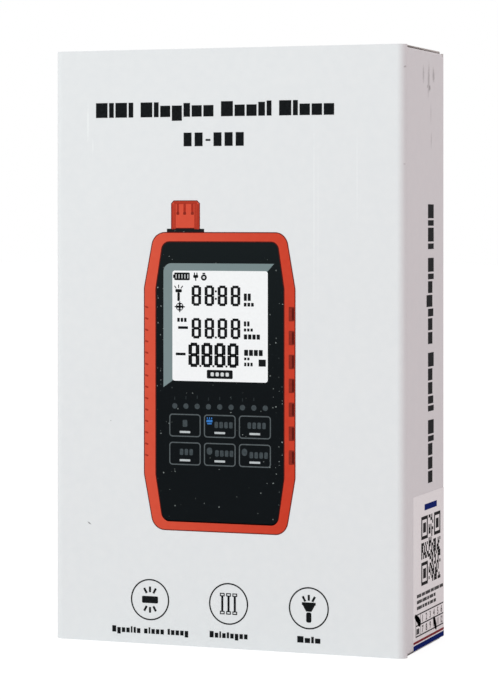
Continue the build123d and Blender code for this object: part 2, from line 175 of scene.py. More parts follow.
def coated_face_finish():
    """Clay-coated white face: smooth and faintly cloudy, over long shallow waves in the board."""
    material, tree, shader, place = new_finish("clay_coated_board_matt_varnish", VARNISH_ROUGHNESS,
                                               VARNISH_SPECULAR)
    full, thin = COATED
    clouds = add(tree, "ShaderNodeTexNoise", [("Vector", place), ("Scale", 1 / CLOUDS), ("Detail", 4.0)])
    colour = mixed(tree, clouds.outputs[0], linear(thin), linear(full))
    for marks_there, tone in ((FRONT_PALE_LINES, PALE_LINE), (FRONT_SPECKS, SPECK)):
        for (across, up), (length, height), turn, strength in marks_there:
            amount = smudge(tree, place, (across * MM, -half_depth, up * MM), (0, math.radians(turn), 0),
                            (length / 2 * MM, MARK_DEPTH, height / 2 * MM), strength)
            colour = mixed(tree, amount, colour, linear(tone))
    for (across, up), (length, height), turn, strength in SIDE_SMUDGES:
        amount = smudge(tree, place, (half_width, across * MM, up * MM), (math.radians(turn), 0, 0),
                        (MARK_DEPTH, length / 2 * MM, height / 2 * MM), strength)
        colour = mixed(tree, amount, colour, linear(SMUDGE))
    tree.links.new(colour, shader.inputs["Base Color"])
    waves = add(tree, "ShaderNodeTexNoise",
                [("Vector", place), ("Scale", 1 / WAVES), ("Detail", 1.0), ("Roughness", 0.3)])
    wavy = add(tree, "ShaderNodeBump",
               [("Height", waves.outputs[0]), ("Strength", 1.0), ("Distance", WAVE_DEPTH)])
    grain = add(tree, "ShaderNodeTexNoise", [("Vector", place), ("Scale", 1 / GRAIN), ("Detail", 3.0)])
    grainy = add(tree, "ShaderNodeBump",
                 [("Height", grain.outputs[0]), ("Strength", 0.12), ("Distance", GRAIN_DEPTH),
                  ("Normal", wavy.outputs[0])])
    tree.links.new(grainy.outputs[0], shader.inputs["Normal"])
    return material


def pulp_finish(name, pale, dark):
    """Bare recycled pulp: dull, with short fibres and darker flecks that show close up."""
    material, tree, shader, place = new_finish(name, PULP_ROUGHNESS, PULP_SPECULAR, PULP_IOR)
    stretched = add(tree, "ShaderNodeMapping", [("Vector", place), ("Scale", FIBRE_STRETCH)])
    fibres = add(tree, "ShaderNodeTexNoise",
                 [("Vector", stretched.outputs[0]), ("Scale", 1 / FIBRES), ("Detail", 6.0),
                  ("Roughness", 0.7)])
    flecks = add(tree, "ShaderNodeTexVoronoi", [("Vector", place), ("Scale", 1 / FLECKS)])
    fleck = add(tree, "ShaderNodeMapRange",
                [("Value", flecks.outputs["Distance"]), ("From Min", FLECK_EDGE), ("From Max", FLECK_CORE),
                 ("To Min", 0.0), ("To Max", FLECK_STRENGTH)])
    ground = mixed(tree, fibres.outputs[0], linear(dark), linear(pale))
    colour = mixed(tree, fleck.outputs[0], ground, linear(dark))
    tree.links.new(colour, shader.inputs["Base Color"])
    rough = add(tree, "ShaderNodeBump",
                [("Height", fibres.outputs[0]), ("Strength", 0.35), ("Distance", FIBRE_DEPTH)])
    tree.links.new(rough.outputs[0], shader.inputs["Normal"])
    return material


board_faces = (
    coated_face_finish(),
    pulp_finish("grey_board_liner", *LINER),
    pulp_finish("die_cut_board_edge", *CUT_CORE),
)
COATED_FACE, LINED_FACE, CUT_FACE = range(3)


def joined_copy(cad_node):
    """The node's own shape as one joined mesh, open to changes."""
    shape = bmesh.new()
    shape.from_mesh(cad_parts[cad_node].data)
    bmesh.ops.remove_doubles(shape, verts=shape.verts, dist=SAME_CORNER)
    return shape


def new_piece(name, shape, finishes):
    """Puts this shape into the scene as an object with these finishes."""
    mesh = bpy.data.meshes.new(name)
    shape.to_mesh(mesh)
    shape.free()
    for finish in finishes:
        mesh.materials.append(finish)
    piece = bpy.data.objects.new(name, mesh)
    bpy.context.scene.collection.objects.link(piece)
    return piece


def board_piece(name, cad_node, body, inside):
    """The node's own shape in board: coated outside, lined inside, bare where it is cut."""
    piece = new_piece(name, joined_copy(cad_node), board_faces)
    bpy.context.view_layer.update()
    for face in piece.data.polygons:
        start = face.center - face.normal * JUST_INSIDE
        board_behind, _, _, _ = piece.ray_cast(start, -face.normal, distance=BOARD_REACH)
        outward = face.normal.dot(face.center - inside) > 0
        side = COATED_FACE if outward else LINED_FACE
        face.material_index = side if board_behind else CUT_FACE
        face.use_smooth = True
    piece.data.set_sharp_from_angle(angle=SHARP_TURN)
    # Weighted normals keep the wide panels flat right up to their rounded folds
    piece.modifiers.new("flat_panels", "WEIGHTED_NORMAL").keep_sharp = True
    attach(piece, body)
    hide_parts(cad_node)


board_piece("folded_walls", "carton_body", "carton", Vector((0, 0, carton_height / 2)))


# Tuck flaps. Each is cut in one with the back panel and creased to it: a closing panel that covers
# the end, and a tongue that slides in behind the front panel. They are of the same board as the walls.
FLAP_INSIDE = 8 * MM
top_inside = Vector((0, half_depth, carton_height - FLAP_INSIDE))
bottom_inside = Vector((0, half_depth, FLAP_INSIDE))
board_piece("top_closing_flap", "top_tuck_flap", "top_flap", top_inside)
board_piece("bottom_closing_flap", "bottom_tuck_flap", "bottom_flap", bottom_inside)


# Black print on the board: the title, the short line under it, the captions, the pictograms and the
# line down the side, all as plain marks. It is offset ink under the varnish, thinner in places.
BLACK = ("#0B0D0F", "#1D2023")
INK_PATCH = 0.8 * MM
INK_GRAIN_DEPTH = 0.02 * MM
INK_ROUGHNESS = 0.6
INK_SPECULAR = 0.04


def ink_finish(name, full, thin, roughness=INK_ROUGHNESS, specular=INK_SPECULAR):
    """Offset ink on coated board: an even, dull film with a faint mottle."""
    material, tree, shader, place = new_finish(name, roughness, specular)
    mottle = add(tree, "ShaderNodeTexNoise",
                 [("Vector", place), ("Scale", 1 / INK_PATCH), ("Detail", 5.0), ("Roughness", 0.65)])
    spread = add(tree, "ShaderNodeMapRange",
                 [("Value", mottle.outputs[0]), ("From Min", 0.35), ("From Max", 0.8)])
    colour = mixed(tree, spread.outputs[0], linear(full), linear(thin))
    tree.links.new(colour, shader.inputs["Base Color"])
    grain = add(tree, "ShaderNodeTexNoise", [("Vector", place), ("Scale", 1 / GRAIN)])
    bump = add(tree, "ShaderNodeBump",
               [("Height", grain.outputs[0]), ("Strength", 0.15), ("Distance", INK_GRAIN_DEPTH)])
    tree.links.new(bump.outputs[0], shader.inputs["Normal"])
    return material


def finish_node(cad_node, material):
    """Gives this material to a CAD node that stays as it is."""
    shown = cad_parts[cad_node]
    if not shown.material_slots:
        shown.data.materials.append(material)
    for material_slot in shown.material_slots:
        material_slot.material = material


black_ink = ink_finish("black_offset_ink", *BLACK)
for cad_node in ("front_type", "captions", "icons", "spine_type"):
    finish_node(cad_node, black_ink)


# Picture of a handheld instrument: the housing. In print it is one flat field of orange-red that
# darkens to the right and downwards, with a thin dark line where the housing turns away.
case_low, case_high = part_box("picture_case")
face_low, face_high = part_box("picture_face")
keys_low, keys_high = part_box("picture_keys")
_, bezel_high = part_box("picture_bezel")
print_face = face_low.y
ink_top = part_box("front_type")[0].y
HOUSING_RED = ("#DA5640", "#C93C28")
EDGE_RED = ("#4E1512", "#6E231C")
RIM = 0.28 * MM
HOUSING_DROP = 1.3 * MM
RIGHT_TRIM = 0.55 * MM
FACING_OUT = -0.99
PICTURE_SPECULAR = 0.05
PICTURE_PATCH = 2.5 * INK_PATCH
# How far the picture's inks darken to the right and downwards, and how uneven they are
DARKER_RIGHT = 0.8
DARKER_DOWN = 0.2
UNEVEN = 0.35
UNEVEN_BASE = 0.17


def picture_ink(name, top_left, bottom_right):
    """Offset ink that shades across the picture, from its upper left to its lower right."""
    material, tree, shader, place = new_finish(name, INK_ROUGHNESS, PICTURE_SPECULAR)
    apart = add(tree, "ShaderNodeSeparateXYZ", [(0, place)])
    across = add(tree, "ShaderNodeMapRange",
                 [("Value", apart.outputs[0]), ("From Min", case_low.x), ("From Max", case_high.x),
                  ("To Min", 0.0), ("To Max", DARKER_RIGHT)])
    down = add(tree, "ShaderNodeMapRange",
               [("Value", apart.outputs[2]), ("From Min", case_high.z), ("From Max", case_low.z),
                ("To Min", 0.0), ("To Max", DARKER_DOWN)])
    both = add(tree, "ShaderNodeMath", [(0, across.outputs[0]), (1, down.outputs[0])])
    mottle = add(tree, "ShaderNodeTexNoise",
                 [("Vector", place), ("Scale", 1 / PICTURE_PATCH), ("Detail", 4.0)])
    uneven = add(tree, "ShaderNodeMath", [(0, mottle.outputs[0]), (1, UNEVEN), (2, both.outputs[0])],
                 operation="MULTIPLY_ADD")
    amount = add(tree, "ShaderNodeMath", [(0, uneven.outputs[0]), (1, UNEVEN_BASE)],
                 operation="SUBTRACT", use_clamp=True)
    colour = mixed(tree, amount.outputs[0], linear(top_left), linear(bottom_right))
    tree.links.new(colour, shader.inputs["Base Color"])
    return material


def printed_copy(cad_node, drop):
    """The printed field's own shape, its foot drawn this much lower and its right side drawn in."""
    shape = joined_copy(cad_node)
    for corner in shape.verts:
        if corner.co.z < keys_low.z:
            corner.co.z -= drop
        if corner.co.x > bezel_high.x:
            corner.co.x -= RIGHT_TRIM * (corner.co.x - bezel_high.x) / (case_high.x - bezel_high.x)
    return shape


housing = printed_copy("picture_case", HOUSING_DROP)
housing.normal_update()
printed = [face for face in housing.faces if face.normal.y < FACING_OUT]
rim = bmesh.ops.inset_region(housing, faces=printed, thickness=RIM, use_boundary=True,
                             use_even_offset=True)
for face in rim["faces"]:
    face.material_index = 1
red_ink = picture_ink("red_offset_ink", *HOUSING_RED)
red_edge_ink = ink_finish("dark_red_outline_ink", *EDGE_RED)
housing_piece = new_piece("printed_housing", housing, (red_ink, red_edge_ink))
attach(housing_piece, "carton")
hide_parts("picture_case")


# Shading of the housing: dark grip recesses down its right side, small ridges down its left side,
# and the fluted top of its knob. All are short strokes of darker red printed over the orange-red.
EDGE_GAP = 0.1
GRIP = (1.75, 4.3)
GRIP_PITCH = 7.1
GRIPS = 7
GRIP_TOP = 102.6
GRIP_DEEP = (0.7, 3.6)
GRIP_DEEP_SHIFT = 0.5
RIDGE = (1.1, 0.5)
RIDGE_PITCH = 3.45
RIDGES = 14
RIDGE_TOP = 102.0
RIDGE_TURN = -18
KNOB_X = -12.97
FLUTE = (0.75, 3.3)
FLUTE_FOOT = (0.95, 0.9)
FLUTE_PLACES = (-2.45, -0.25, 2.25)
FLUTE_DROP = 2.7
# Each shaded side of the knob: its place from the knob's middle and its width
KNOB_SIDES = ((-4.15, 0.7), (-3.4, 0.5), (4.0, 1.0), (3.15, 0.5))
KNOB_SIDE_TALL = 7.6
KNOB_SIDE_DROP = 1.1
KNOB_TOP = (7.6, 0.75)
KNOB_TOP_DROP = 0.75
SOFT_CORNER = 0.25
CRISP_CORNER = 0.2
FOOT_CORNER = 0.3
GRIP_RED = ("#86251B", "#94362A")
DEEP_RED = ("#561410", "#6B1D16")
GROOVE_RED = ("#A82A1C", "#A13C2F")
SIDE_RED = ("#B23C2B", "#A82A1C")
film_height = print_face - ink_top
# A film printed over another stands out the whole height, and one under it this share of it
UNDER_FILM = 0.7
first_film = UNDER_FILM * film_height
ARC_CORNERS = 3
SAME_FILM_CORNER = 0.0001 * MM


def marks_tree():
    """Geometry nodes: a rounded mark on every point, as a thin closed film of ink."""
    tree = bpy.data.node_groups.new("marks_on_points", "GeometryNodeTree")
    for name, kind in (("Places", "Geometry"), ("Width", "Float"), ("Height", "Float"),
                       ("Corner", "Float"), ("Film", "Float"), ("Turn", "Vector"), ("Ink", "Material")):
        tree.interface.new_socket(name=name, in_out="INPUT", socket_type="NodeSocket" + kind)
    tree.interface.new_socket(name="Marks", in_out="OUTPUT", socket_type="NodeSocketGeometry")
    given = add(tree, "NodeGroupInput")
    outline = add(tree, "GeometryNodeCurvePrimitiveQuadrilateral",
                  [("Width", given.outputs["Width"]), ("Height", given.outputs["Height"])])
    rounded = add(tree, "GeometryNodeFilletCurve",
                  [("Curve", outline.outputs[0]), ("Count", ARC_CORNERS),
                   ("Radius", given.outputs["Corner"])], mode="POLY")
    under = add(tree, "GeometryNodeFillCurve", [("Curve", rounded.outputs[0])], mode="NGONS")
    raised = add(tree, "GeometryNodeExtrudeMesh",
                 [("Mesh", under.outputs[0]), ("Offset Scale", given.outputs["Film"])])
    back = add(tree, "GeometryNodeFlipFaces", [("Mesh", under.outputs[0])])
    film = add(tree, "GeometryNodeJoinGeometry", [("Geometry", raised.outputs["Mesh"]),
                                                  ("Geometry", back.outputs["Mesh"])])
    closed = add(tree, "GeometryNodeMergeByDistance",
                 [("Geometry", film.outputs[0]), ("Distance", SAME_FILM_CORNER)])
    stamped = add(tree, "GeometryNodeInstanceOnPoints",
                  [("Points", given.outputs["Places"]), ("Instance", closed.outputs[0]),
                   ("Rotation", given.outputs["Turn"])])
    real = add(tree, "GeometryNodeRealizeInstances", [("Geometry", stamped.outputs[0])])
    inked = add(tree, "GeometryNodeSetMaterial",
                [("Geometry", real.outputs[0]), ("Material", given.outputs["Ink"])])
    add(tree, "NodeGroupOutput", [("Marks", inked.outputs[0])])
    return tree


stamps = marks_tree()


def marks(places, size, corner, ink, film=first_film, turn=0.0):
    """A flat mesh of rounded marks of this size, in mm, one on each (across, up) place."""
    points = bpy.data.meshes.new("places")
    points.from_pydata([(across * MM, up * MM, 0) for across, up in places], [], [])
    holder = bpy.data.objects.new("places", points)
    bpy.context.scene.collection.objects.link(holder)
    stamping = holder.modifiers.new("marks", "NODES")
    stamping.node_group = stamps
    given = {"Width": size[0] * MM, "Height": size[1] * MM, "Corner": corner * MM, "Film": film,
             "Turn": (0.0, 0.0, math.radians(turn)), "Ink": ink}
    for socket in stamps.interface.items_tree:
        if socket.name in given:
            stamping[socket.identifier] = given[socket.name]
    evaluated = holder.evaluated_get(bpy.context.evaluated_depsgraph_get())
    mesh = bpy.data.meshes.new_from_object(evaluated)
    bpy.data.objects.remove(holder)
    bpy.data.meshes.remove(points)
    return mesh


def printed_piece(name, meshes, ink, sheet):
    """Joins flat meshes of one ink, lays them on this sheet and fixes them to the carton."""
    joined = bmesh.new()
    for mesh in meshes:
        joined.from_mesh(mesh)
    for face in joined.faces:
        face.material_index = 0
    joined.transform(sheet)
    piece = new_piece(name, joined, [ink])
    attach(piece, "carton")
    return piece


# Across and up on a flat mesh become X and Z on the front, with the ink's film standing out to -Y
front_turn = Matrix.Rotation(math.pi / 2, 4, "X")
picture_sheet = Matrix.Translation((0, print_face, 0)) @ front_turn

# Sides: dark red recesses on the right and middle red ridges on the left, then the recesses' depth,
# which is a narrower stroke of deeper red over each
grip_ink = ink_finish("grip_recess_ink", *GRIP_RED)
grip_x = (case_high.x - RIGHT_TRIM - RIM) / MM - GRIP[0] / 2 - EDGE_GAP
grip_places = [(grip_x, GRIP_TOP - GRIP[1] / 2 - GRIP_PITCH * row) for row in range(GRIPS)]
printed_piece("housing_grip_recesses", [marks(grip_places, GRIP, SOFT_CORNER, grip_ink)], grip_ink,
              picture_sheet)
groove_ink = ink_finish("red_groove_ink", *GROOVE_RED)
ridge_x = (case_low.x + RIM) / MM + RIDGE[0] / 2 + EDGE_GAP
ridge_places = [(ridge_x, RIDGE_TOP - RIDGE_PITCH * row) for row in range(RIDGES)]
ridge_marks = marks(ridge_places, RIDGE, CRISP_CORNER, groove_ink, turn=RIDGE_TURN)
printed_piece("housing_side_ridges", [ridge_marks], groove_ink, picture_sheet)
deep_ink = ink_finish("deep_recess_ink", *DEEP_RED)
deep_places = [(x + GRIP_DEEP_SHIFT, z) for x, z in grip_places]
deep_marks = marks(deep_places, GRIP_DEEP, CRISP_CORNER, deep_ink, film_height)
printed_piece("housing_grip_depths", [deep_marks], deep_ink, picture_sheet)

# Knob: flutes in the ridges' red, each with a darker foot, and its sides and top edge a little darker
# than the housing, so that it looks round
knob_top = case_high.z / MM
flute_places = [(KNOB_X + across, knob_top - FLUTE_DROP) for across in FLUTE_PLACES]
foot_places = [(x, z - FLUTE[1] / 2 + FLUTE_FOOT[1] / 2) for x, z in flute_places]
printed_piece("knob_flutes", [marks(flute_places, FLUTE, SOFT_CORNER, groove_ink)], groove_ink,
              picture_sheet)
foot_marks = marks(foot_places, FLUTE_FOOT, FOOT_CORNER, grip_ink, film_height)
printed_piece("knob_flute_feet", [foot_marks], grip_ink, picture_sheet)
side_ink = ink_finish("knob_side_ink", *SIDE_RED)
side_height = knob_top - KNOB_SIDE_DROP - KNOB_SIDE_TALL / 2
knob_sides = [marks([(KNOB_X + across, side_height)], (wide, KNOB_SIDE_TALL), CRISP_CORNER, side_ink)
              for across, wide in KNOB_SIDES]
knob_sides.append(marks([(KNOB_X, knob_top - KNOB_TOP_DROP)], KNOB_TOP, CRISP_CORNER, side_ink))
printed_piece("knob_shaded_sides", knob_sides, side_ink, picture_sheet)


# Face of the instrument: near-black ink, where rubbed-off ink shows as tiny pale specks, thickest
# along both sides. A lit bezel, a pale screen and the keys' thin outlines are printed on it.
FACE_BLACK = "#0D1114"
FACE_TOP = "#151B1D"
FACE_SHADE_FOOT = 75 * MM
FACE_DROP = 1.65 * MM
SPECKS = 0.95 * MM
SPECK_PALE = "#8E9694"
SPECK_DRAG = 0.5 * MM
# Specks get likelier from this share of the way to the face's sides, from the first chance to the second
SPECKS_FROM = 0.6
SPECK_CHANCES = (0.04, 0.3)
SPECK_LEAST = 0.06
SPECK_SPREAD = 0.24
BEZEL_GREY = ("#7D8C8E", "#76888A")
SCREEN_WHITE = ("#F7F8FA", "#F2F3F5")
KEY_LINE_GREY = ("#5D6467", "#474E51")


def face_finish():
    """Near-black ink, a little greener and lighter at the top, with sparse pale specks."""
    material, tree, shader, place = new_finish("black_picture_ink", INK_ROUGHNESS, INK_SPECULAR)
    apart = add(tree, "ShaderNodeSeparateXYZ", [(0, place)])
    lift = add(tree, "ShaderNodeMapRange",
               [("Value", apart.outputs[2]), ("From Min", FACE_SHADE_FOOT), ("From Max", face_high.z)])
    ground = mixed(tree, lift.outputs[0], linear(FACE_BLACK), linear(FACE_TOP))
    ragged = add(tree, "ShaderNodeTexNoise", [("Vector", place), ("Scale", 1 / SPECK_DRAG)])
    dragged = add(tree, "ShaderNodeVectorMath",
                  [(0, ragged.outputs["Color"]), (1, (SPECK_DRAG, SPECK_DRAG, SPECK_DRAG)), (2, place)],
                  operation="MULTIPLY_ADD")
    cells = add(tree, "ShaderNodeTexVoronoi", [("Vector", dragged.outputs[0]), ("Scale", 1 / SPECKS)])
    middle = (face_low.x + face_high.x) / 2
    half_face = face_high.x - middle
    offset = add(tree, "ShaderNodeMath", [(0, apart.outputs[0]), (1, middle)], operation="SUBTRACT")
    aside = add(tree, "ShaderNodeMath", [(0, offset.outputs[0])], operation="ABSOLUTE")
    chance = add(tree, "ShaderNodeMapRange",
                 [("Value", aside.outputs[0]), ("From Min", SPECKS_FROM * half_face),
                  ("From Max", half_face), ("To Min", SPECK_CHANCES[0]), ("To Max", SPECK_CHANCES[1])])
    drawn = add(tree, "ShaderNodeSeparateColor", [(0, cells.outputs["Color"])])
    chosen = add(tree, "ShaderNodeMath", [(0, drawn.outputs[0]), (1, chance.outputs[0])],
                 operation="LESS_THAN")
    size = add(tree, "ShaderNodeMath", [(0, drawn.outputs[1]), (1, SPECK_SPREAD), (2, SPECK_LEAST)],
               operation="MULTIPLY_ADD")
    near = add(tree, "ShaderNodeMath", [(0, cells.outputs["Distance"]), (1, size.outputs[0])],
               operation="LESS_THAN")
    speck = add(tree, "ShaderNodeMath", [(0, near.outputs[0]), (1, chosen.outputs[0])],
                operation="MULTIPLY")
    faint = add(tree, "ShaderNodeMath", [(0, speck.outputs[0]), (1, drawn.outputs[2])],
                operation="MULTIPLY")
    colour = mixed(tree, faint.outputs[0], ground, linear(SPECK_PALE))
    tree.links.new(colour, shader.inputs["Base Color"])
    return material


face_piece = new_piece("printed_face", printed_copy("picture_face", FACE_DROP), [face_finish()])
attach(face_piece, "carton")
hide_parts("picture_face")
finish_node("picture_bezel", picture_ink("lit_bezel_ink", *BEZEL_GREY))
finish_node("picture_screen", ink_finish("pale_screen_ink", *SCREEN_WHITE))
finish_node("picture_keys", ink_finish("key_line_ink", *KEY_LINE_GREY))


# Display: a test reading with every segment lit, a battery sign, small signs and rows of plain blocks,
# printed in black on the pale screen, with small parts of the signs left pale.
screen_low, screen_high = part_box("picture_screen")
screen_left = screen_low.x / MM
screen_top = screen_high.z / MM
screen_wide = (screen_high.x - screen_low.x) / MM
screen_tall = (screen_high.z - screen_low.z) / MM
DISPLAY_BLACK = ("#101214", "#1A1D1F")
PALE_MARK = ("#DADCDE", "#D2D5D7")
# Each reading: the first digit's middle, the digits' drop, width and height as shares, the stroke in mm
READINGS = (
    (0.254, 0.225, 0.100, 0.190, 0.95),
    (0.254, 0.521, 0.100, 0.190, 0.95),
    (0.228, 0.762, 0.116, 0.226, 1.2),
)
DIGIT_PITCH = 0.137
DIGITS = 4
# A level segment's shortening and weight, and an upright one's shortening, as shares of the stroke
LEVEL_SHORTER = 1.2
LEVEL_WEIGHT = 0.85
UPRIGHT_SHORTER = 0.15
STROKE_CORNER = 0.12
# Points and colons, the lowest reading's row of points, and the minus signs, as shares of the screen
UPPER_POINTS = ((0.459, 0.185), (0.459, 0.253), (0.459, 0.602))
LOW_POINT = (0.296, 0.862)
LOW_POINTS = 3
POINT = (0.62, 0.62)
POINT_CORNER = 0.2
MINUS_PLACES = ((0.113, 0.517), (0.088, 0.757))
MINUS = (3.2, 0.8)
MINUS_CORNER = 0.15
# Rows of blocks beside the readings: left end and drop as shares, how many, width, height
BLOCK_ROWS = (
    (0.752, 0.235, 2, 0.95, 2.2), (0.752, 0.302, 3, 0.85, 1.1),
    (0.752, 0.475, 2, 0.75, 1.5), (0.752, 0.530, 3, 0.75, 0.9), (0.752, 0.592, 4, 1.05, 1.5),
    (0.755, 0.735, 4, 1.25, 1.8), (0.755, 0.790, 2, 0.70, 0.8), (0.755, 0.840, 3, 0.70, 1.1),
    (0.905, 0.825, 1, 2.30, 2.1), (0.052, 0.447, 3, 0.80, 1.2),
)
BLOCK_GAP = 0.3
BATTERY = (0.102, 0.052)
PLUG = (0.247, 0.055)
TIMER = (0.333, 0.055)
TORCH = (0.066, 0.195)
TARGET = (0.078, 0.328)
BADGE = (0.5, 0.935)
PRONG = (0.35, 0.9)
RAY = (0.3, 1.0)
# Marks of the signs: the sign's place as above, the mark's shift, size and corner in mm, its turn
SIGNS = (
    (BATTERY, (0.0, 0.0), (5.0, 2.3), 0.3, 0),
    (BATTERY, (-2.65, 0.0), (0.5, 1.0), 0.1, 0),
    (PLUG, (-0.4, 0.8), PRONG, 0.1, 0),
    (PLUG, (0.4, 0.8), PRONG, 0.1, 0),
    (PLUG, (0.0, 0.1), (1.6, 0.9), 0.3, 0),
    (PLUG, (0.0, -0.75), PRONG, 0.1, 0),
    (TIMER, (0.0, -0.2), (1.9, 1.9), 0.93, 0),
    (TIMER, (0.0, 1.0), (0.9, 0.4), 0.1, 0),
    (TORCH, (0.0, -1.4), (0.8, 2.6), 0.3, 0),
    (TORCH, (0.0, 0.4), (2.1, 1.0), 0.35, 0),
    (TORCH, (0.0, 1.75), RAY, 0.1, 0),
    (TORCH, (-1.05, 1.5), RAY, 0.1, 35),
    (TORCH, (1.05, 1.5), RAY, 0.1, -35),
    (TARGET, (0.0, 0.0), (2.5, 2.5), 1.225, 0),
    (TARGET, (0.0, 0.0), (3.3, 0.35), 0.1, 0),
    (TARGET, (0.0, 0.0), (0.35, 3.3), 0.1, 0),
    (BADGE, (0.0, 0.0), (8.3, 2.6), 0.35, 0),
)
BATTERY_CELLS = (-1.9, -0.95, 0.0, 0.95, 1.9)
TARGET_HOLES = ((-0.55, -0.55), (-0.55, 0.55), (0.55, -0.55), (0.55, 0.55))
BADGE_BLOCKS = (-2.4, -0.8, 0.8, 2.4)
# What is left pale: the battery's cells, the timer's and target's insides, and the badge's blocks
PALE_SIGNS = (
    *((BATTERY, (shift, 0.0), (0.25, 1.3), 0.1, 0) for shift in BATTERY_CELLS),
    (TIMER, (0.0, -0.2), (0.8, 0.8), 0.39, 0),
    *((TARGET, shift, (0.6, 0.6), 0.29, 0) for shift in TARGET_HOLES),
    *((BADGE, (shift, 0.0), (1.05, 1.15), 0.3, 0) for shift in BADGE_BLOCKS),
)


def on_screen(across, down):
    """The place in mm at these shares of the screen, from its left edge and its top."""
    return screen_left + across * screen_wide, screen_top - down * screen_tall


def sign_marks(signs, ink, film):
    """The marks of these signs as flat meshes."""
    meshes = []
    for sign_place, (aside, above), size, corner, turn in signs:
        across, up = on_screen(*sign_place)
        meshes.append(marks([(across + aside, up + above)], size, corner, ink, film, turn))
    return meshes


display_ink = ink_finish("black_display_ink", *DISPLAY_BLACK)
reading_parts = []
for first, down, wide, tall, stroke in READINGS:
    width, height = wide * screen_wide, tall * screen_tall
    level, upright = [], []
    for digit in range(DIGITS):
        across, up = on_screen(first + digit * DIGIT_PITCH, down)
        level += [(across, up + step * (height - stroke) / 2) for step in (-1, 0, 1)]
        upright += [(across + side * (width - stroke) / 2, up + step * (height - stroke) / 4)
                    for side in (-1, 1) for step in (-1, 1)]
    level_size = (width - LEVEL_SHORTER * stroke, LEVEL_WEIGHT * stroke)
    upright_size = (stroke, (height - stroke) / 2 - UPRIGHT_SHORTER * stroke)
    reading_parts.append(marks(level, level_size, STROKE_CORNER, display_ink))
    reading_parts.append(marks(upright, upright_size, STROKE_CORNER, display_ink))
points = [on_screen(*place) for place in UPPER_POINTS]
points += [on_screen(LOW_POINT[0] + step * DIGIT_PITCH, LOW_POINT[1]) for step in range(LOW_POINTS)]
reading_parts.append(marks(points, POINT, POINT_CORNER, display_ink))
minus_places = [on_screen(*place) for place in MINUS_PLACES]
reading_parts.append(marks(minus_places, MINUS, MINUS_CORNER, display_ink))
printed_piece("display_digits", reading_parts, display_ink, picture_sheet)

sign_parts = []
for left_end, down, count, wide, tall in BLOCK_ROWS:
    across, up = on_screen(left_end, down)
    blocks = [(across + wide / 2 + place * (wide + BLOCK_GAP), up) for place in range(count)]
    sign_parts.append(marks(blocks, (wide, tall), STROKE_CORNER, display_ink))
sign_parts += sign_marks(SIGNS, display_ink, first_film)
printed_piece("display_signs", sign_parts, display_ink, picture_sheet)
reversed_ink = ink_finish("pale_reversed_mark", *PALE_MARK)
pale_parts = sign_marks(PALE_SIGNS, reversed_ink, film_height)
printed_piece("display_reversed_marks", pale_parts, reversed_ink, picture_sheet)


# Keys and lamps of the instrument: a short white bar and dim signs inside each key's outline, one
# blue sign, and a row of dim lamps over the keys, each with a dimmer tick.
KEY_COLUMNS = 3
KEY_ROWS = 2
KEY_WIDE = 10.2
KEY_TALL = 6.9
KEY_BAR = (3.4, 0.62)
KEY_BAR_CORNER = 0.12
KEY_BAR_DROP = 2.0
# Signs on each key: the first one's place from the key's middle, how many, width, height
KEY_SIGNS = (
    ((0.0, 0.6), 1, 1.5, 2.1), ((-1.1, 0.4), 4, 1.15, 1.9), ((-1.75, 0.5), 4, 1.15, 1.9),
    ((-1.1, 0.5), 3, 1.15, 1.9), ((-0.9, 0.4), 4, 1.15, 1.9), ((-1.1, 0.2), 4, 1.15, 1.9),
)
KEY_SIGN_PITCH = 1.55
KEY_SIGN_CORNER = 0.35
ROUND_SIGN_KEYS = (4, 5)
ROUND_SIGN = (1.76, 2.2)
ROUND_SIGN_CORNER = 0.858
ROUND_SIGN_SHIFT = (-3.3, 1.0)
BLUE_SIGN_KEY = 1
BLUE_SIGN_SHIFT = (-3.3, 1.5)
# Marks of the blue sign: the shift from its middle, the size and the corner
BLUE_MARKS = (
    ((0.0, 0.0), (1.9, 0.75), 0.25),
    ((-0.7, 0.85), (0.28, 0.55), 0.08),
    ((0.0, 0.85), (0.28, 0.55), 0.08),
    ((0.7, 0.85), (0.28, 0.55), 0.08),
    ((0.0, -0.8), (1.5, 0.35), 0.1),
)
LAMPS = 9
LAMP_SIZE = 1.7
LAMP_PITCH = 3.63
LAMP_RISE = 72.3
TICK = (0.28, 1.0)
TICK_CORNER = 0.1
TICK_RISE = 2.3
# Ticks stand at three heights in turn, this much apart
TICK_STEP = 0.25
TICK_STEPS = 3
# A corner of this share of a mark's smaller side makes the mark round, or round at its ends
ROUND = 0.49
KEY_BAR_GREY = ("#C3C8CB", "#AEB4B7")
DIM_GREY = ("#485054", "#30373B")
FAINT_GREY = ("#2E3437", "#23292B")
SIGN_BLUE = ("#2568B8", "#4E92D8")
column_pitch = ((keys_high.x - keys_low.x) / MM - KEY_WIDE) / (KEY_COLUMNS - 1)
row_pitch = ((keys_high.z - keys_low.z) / MM - KEY_TALL) / (KEY_ROWS - 1)
key_middles = [(keys_low.x / MM + KEY_WIDE / 2 + column * column_pitch,
                keys_high.z / MM - KEY_TALL / 2 - row * row_pitch)
               for row in range(KEY_ROWS) for column in range(KEY_COLUMNS)]
key_ink = ink_finish("key_bar_ink", *KEY_BAR_GREY)
bar_places = [(x, z - KEY_BAR_DROP) for x, z in key_middles]
printed_piece("key_bars", [marks(bar_places, KEY_BAR, KEY_BAR_CORNER, key_ink)], key_ink, picture_sheet)

